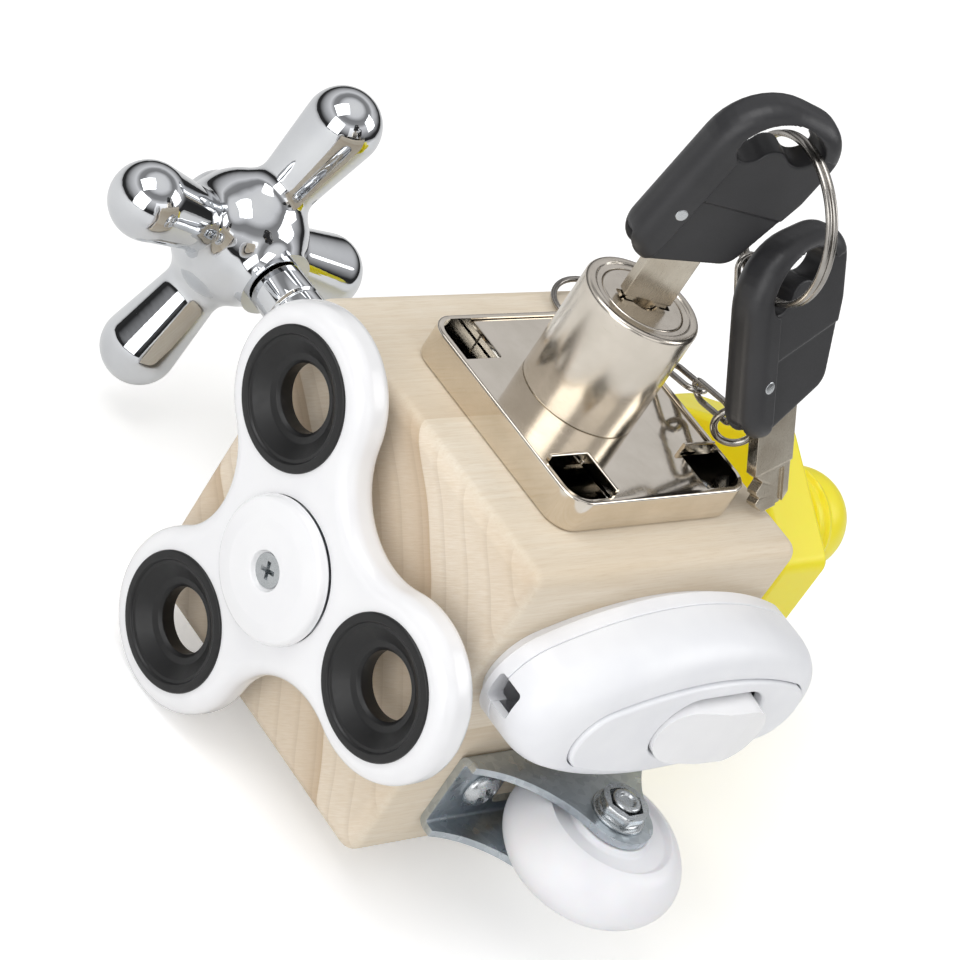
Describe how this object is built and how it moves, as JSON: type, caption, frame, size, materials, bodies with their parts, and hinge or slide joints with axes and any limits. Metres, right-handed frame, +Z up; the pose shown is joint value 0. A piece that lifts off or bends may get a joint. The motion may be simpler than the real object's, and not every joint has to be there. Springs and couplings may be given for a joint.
{
  "type": "wooden busy cube",
  "caption": "Wooden activity cube for small hands: spinner, lock with keys on a chain, rocker switch, caster, cross tap handle, and a plastic bolt and nut, one to a face.",
  "frame": {"origin": "centre of the block's bare bottom face, on the table", "axes": "+Z up to the lock's face, -Y the spinner's face, +X the face with the switch and the caster, -X the tap handle's face, +Y the plastic bolt's face"},
  "size_m": [0.1455, 0.1301, 0.1299],
  "materials": {
    "beech": "sanded, oiled",
    "white_plastic": "moulded, satin gloss",
    "black_plastic": "moulded, satin gloss",
    "bearing_steel": "ground",
    "zinc": "zinc plated",
    "nickel": "polished nickel",
    "chain_steel": "nickel plated wire",
    "chrome": "polished",
    "brass": "stamped",
    "yellow_plastic": "moulded, gloss"
  },
  "bodies": {
    "block": {"wooden_block": "beech", "spinner_screw": "zinc", "front_finger_cap": "white_plastic", "back_finger_cap": "white_plastic", "bearing_inner_race": "bearing_steel", "bearing_balls": "bearing_steel", "lock_case": "nickel", "lock_cover_plate": "nickel", "lock_barrel": "nickel", "lock_screws": "zinc", "joining_ring": "chain_steel", "lower_chain": "chain_steel", "eye_ring": "chain_steel", "screw_eye": "chain_steel", "switch_base": "white_plastic", "switch_cover": "white_plastic", "switch_inlay": "white_plastic", "rocker_pin": "bearing_steel", "switch_contacts": "brass", "switch_screws": "zinc", "caster_bracket": "zinc", "caster_bush": "bearing_steel", "caster_bolt": "zinc", "caster_nut": "zinc", "caster_screws": "zinc", "tap_escutcheon": "chrome", "tap_collar": "chrome", "toy_bolt": "yellow_plastic", "toy_bolt_screw": "zinc"},
    "spinner": {"spinner_body": "white_plastic", "spinner_rings": "black_plastic", "bearing_outer_race": "bearing_steel"},
    "plug": {"lock_plug": "nickel", "lock_cam": "zinc"},
    "bolt": {"lock_bolt": "zinc"},
    "key": {"key_blade": "nickel", "key_pin": "bearing_steel"},
    "head": {"key_head": "black_plastic"},
    "ring": {"key_ring": "chain_steel", "upper_chain": "chain_steel"},
    "spare_head": {"spare_key_head": "black_plastic", "spare_key_pin": "bearing_steel"},
    "spare_blade": {"spare_key_blade": "nickel"},
    "rocker": {"switch_rocker": "white_plastic"},
    "wheel": {"caster_wheel": "white_plastic"},
    "tap": {"tap_spindle": "chrome", "tap_handle": "chrome", "tap_handle_screw": "zinc", "tap_cap": "chrome"},
    "liner": {"nut_liner": "yellow_plastic"},
    "nut": {"toy_nut": "yellow_plastic"}
  },
  "joints": [
    {"name": "spinner_spin", "type": "hinge", "parent": "block", "child": "spinner", "pos_m": [-0.001, -0.0373, 0.0315], "axis": [0, -1, 0], "continuous": true},
    {"name": "key_turn", "type": "hinge", "parent": "block", "child": "plug", "pos_m": [-0.0005, -0.0005, 0.075], "axis": [0, 0, 1], "range_deg": [-90, 0], "deforming": ["upper_chain"]},
    {"name": "bolt_slide", "type": "slide", "parent": "block", "child": "bolt", "axis": [-1, 0, 0], "range_m": [0, 0.0064]},
    {"name": "key_pull", "type": "slide", "parent": "plug", "child": "key", "axis": [0, 0, 1], "range_m": [0, 0.02], "deforming": ["upper_chain"]},
    {"name": "key_fold", "type": "hinge", "parent": "key", "child": "head", "pos_m": [-0.00238, -0.00567, 0.1028], "axis": [0.9397, -0.342, 0], "range_deg": [0, 25], "deforming": ["upper_chain"]},
    {"name": "ring_swing", "type": "hinge", "parent": "head", "child": "ring", "pos_m": [0.00527, 0.0098, 0.10586], "axis": [0.2036, 0.9496, 0.2385], "range_deg": [-4, 0], "deforming": ["upper_chain"]},
    {"name": "spare_swing", "type": "hinge", "parent": "ring", "child": "spare_head", "pos_m": [0.00527, 0.0098, 0.10586], "axis": [0.2036, 0.9496, 0.2385], "range_deg": [-6, 0]},
    {"name": "spare_fold", "type": "hinge", "parent": "spare_head", "child": "spare_blade", "pos_m": [0.01391, 0.01443, 0.08155], "axis": [0.9307, 0.0244, 0.3649], "range_deg": [0, 8]},
    {"name": "switch_rock", "type": "hinge", "parent": "block", "child": "rocker", "pos_m": [0.0405, 0.0085, 0.0405], "axis": [0, 0, 1], "range_deg": [0, 14]},
    {"name": "wheel_spin", "type": "hinge", "parent": "block", "child": "wheel", "pos_m": [0.0456, 0.0025, 0.014], "axis": [0, 0, 1], "continuous": true},
    {"name": "tap_turn", "type": "hinge", "parent": "block", "child": "tap", "pos_m": [-0.0725, 0, 0.032], "axis": [-1, 0, 0], "continuous": true},
    {"name": "nut_travel", "type": "slide", "parent": "block", "child": "liner", "axis": [0, 1, 0], "range_m": [0, 0.0165]},
    {"name": "nut_turn", "type": "hinge", "parent": "liner", "child": "nut", "pos_m": [0, 0.05, 0.032], "axis": [0, 1, 0], "range_deg": [0, 1800]}
  ],
  "couplings": [
    {"joint": "bolt_slide", "follows": "key_turn", "m_per_rad": -0.0040744},
    {"joint": "nut_travel", "follows": "nut_turn", "m_per_rad": 0.00052521}
  ]
}
